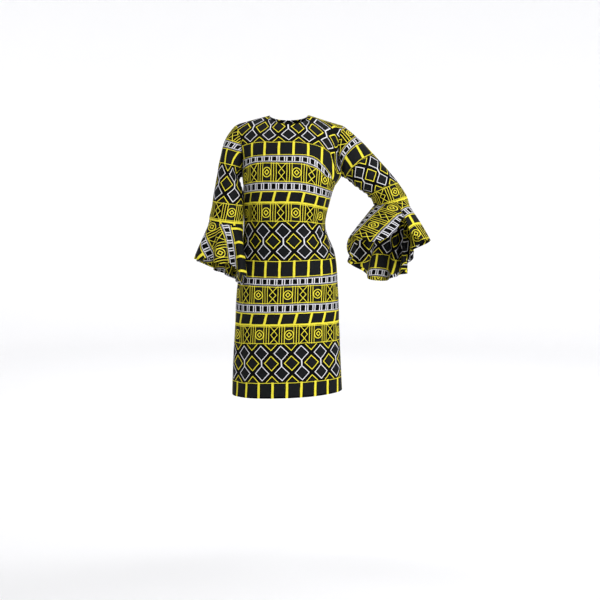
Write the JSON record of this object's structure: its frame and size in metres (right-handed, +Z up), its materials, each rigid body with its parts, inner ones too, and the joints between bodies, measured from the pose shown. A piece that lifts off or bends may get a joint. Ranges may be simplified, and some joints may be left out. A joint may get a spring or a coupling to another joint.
{
  "type": "ankara wax print dress",
  "caption": "Knee-length fitted shift dress in banded wax print cotton, with a jewel neck, elbow sleeves that end in circular flounces, and a back zip, held in its worn form.",
  "frame": {"origin": "on the shoulder line, midway between the two sides of the neck, where the wearer's shoulders hold the dress up", "axes": "+Z up, -Y towards the dress's front, +X towards the wearer's left"},
  "size_m": [0.7476, 0.2892, 0.8929],
  "materials": {
    "wax_print": "crisp waxed cotton, black ground printed in lemon yellow and white, faint sheen",
    "zip_tape": "woven black polyester tape",
    "zip_enamel": "black enamel, satin"
  },
  "bodies": {
    "dress": {"front_panel": "wax_print", "back_panel_right": "wax_print", "back_panel_left": "wax_print", "sleeve_right": "wax_print", "sleeve_left": "wax_print", "flounce_right": "wax_print", "flounce_left": "wax_print", "zip_tape": "zip_tape", "zip_slider": "zip_enamel"},
    "pull": {"zip_pull": "zip_enamel"}
  },
  "joints": [
    {"name": "pull_swing", "type": "hinge", "parent": "dress", "child": "pull", "pos_m": [0, 0.06875, -0.0164], "axis": [1, 0, 0], "range_deg": [0, 150]}
  ]
}
